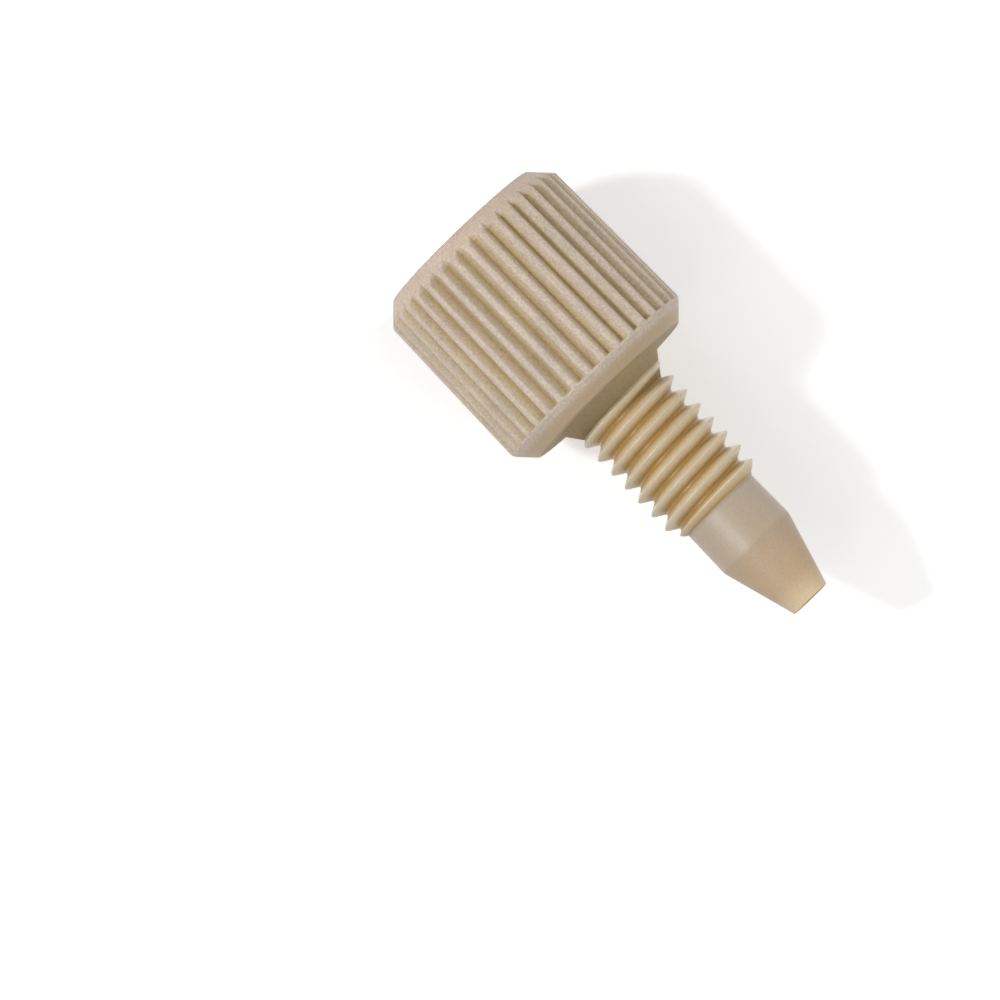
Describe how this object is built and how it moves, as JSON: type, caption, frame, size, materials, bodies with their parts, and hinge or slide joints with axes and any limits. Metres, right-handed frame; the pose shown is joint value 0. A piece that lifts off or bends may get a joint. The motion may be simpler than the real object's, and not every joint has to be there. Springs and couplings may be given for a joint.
{
  "type": "hplc fingertight fitting",
  "caption": "One-piece coned finger-tight tube fitting: a grooved head, a fine male thread and a tapered sealing nose round a straight through bore.",
  "frame": {"origin": "centre of the head's flat back face, on which the part stands; the lowest point of the part on its axis", "axes": "+Z runs along the bore from the back of the head to the tip of the sealing cone; X and Y are across the axis, and the grooves repeat every 10 degrees from +X"},
  "size_m": [0.0094, 0.0094, 0.0207],
  "materials": {
    "peek": "natural beige moulding resin, satin and slightly translucent, with a fine grain on the head"
  },
  "bodies": {
    "root": {"fitting": "peek"}
  },
  "joints": []
}
